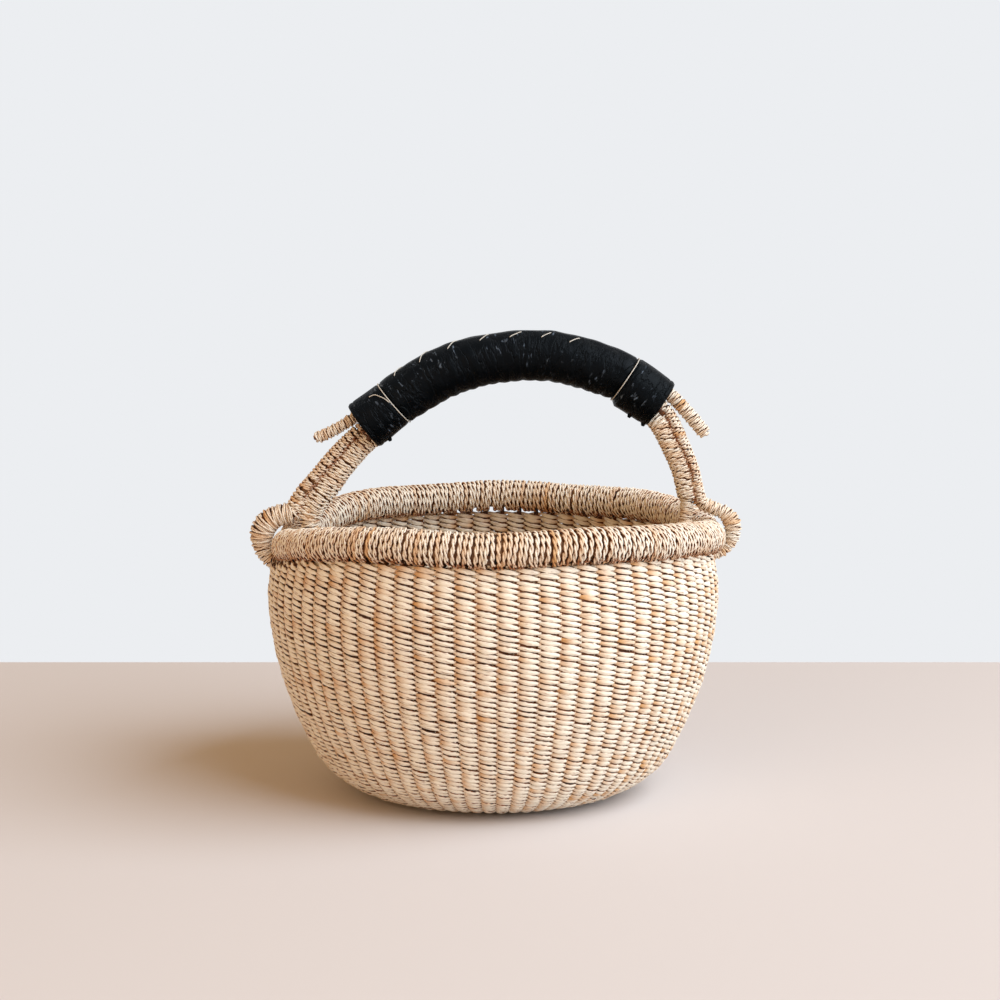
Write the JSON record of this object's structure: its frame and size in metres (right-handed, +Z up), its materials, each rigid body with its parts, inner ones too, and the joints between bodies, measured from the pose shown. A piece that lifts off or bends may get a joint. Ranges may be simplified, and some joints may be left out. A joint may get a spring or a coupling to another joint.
{
  "type": "basket",
  "caption": "Small round basket of twined grass with a wrapped rim and an arched, grass-wrapped handle with a black leather grip.",
  "frame": {"origin": "centre of the flat base, on the surface that the basket stands on", "axes": "+Z up, +X towards the right handle loop, -Y towards the viewer of the front"},
  "size_m": [0.2215, 0.2028, 0.2056],
  "materials": {
    "grass": "matt twisted grass",
    "inner_grass": "matt bundled grass",
    "winding_grass": "matt wound grass",
    "leather": "smooth black, softly shining",
    "thread": "waxed"
  },
  "bodies": {
    "basket": {"weft_outer": "grass", "stakes": "inner_grass", "weft_inner": "grass", "rim_core": "inner_grass", "rim_wrap": "winding_grass"},
    "handle": {"handle_bundle": "inner_grass", "left_leg_wrap": "winding_grass", "right_leg_wrap": "winding_grass", "left_loop_wrap": "winding_grass", "right_loop_wrap": "winding_grass", "left_tail_wrap": "winding_grass", "right_tail_wrap": "winding_grass", "grip_binding": "winding_grass", "grip_leather": "leather", "left_cuff": "leather", "right_cuff": "leather", "left_seam_thread": "thread", "right_seam_thread": "thread", "grip_lacing": "thread"}
  },
  "joints": [
    {"name": "handle_swing", "type": "hinge", "parent": "basket", "child": "handle", "pos_m": [0.0022, 0, 0.0998], "axis": [0.9996, 0, 0.0276], "range_deg": [-20, 20]}
  ]
}
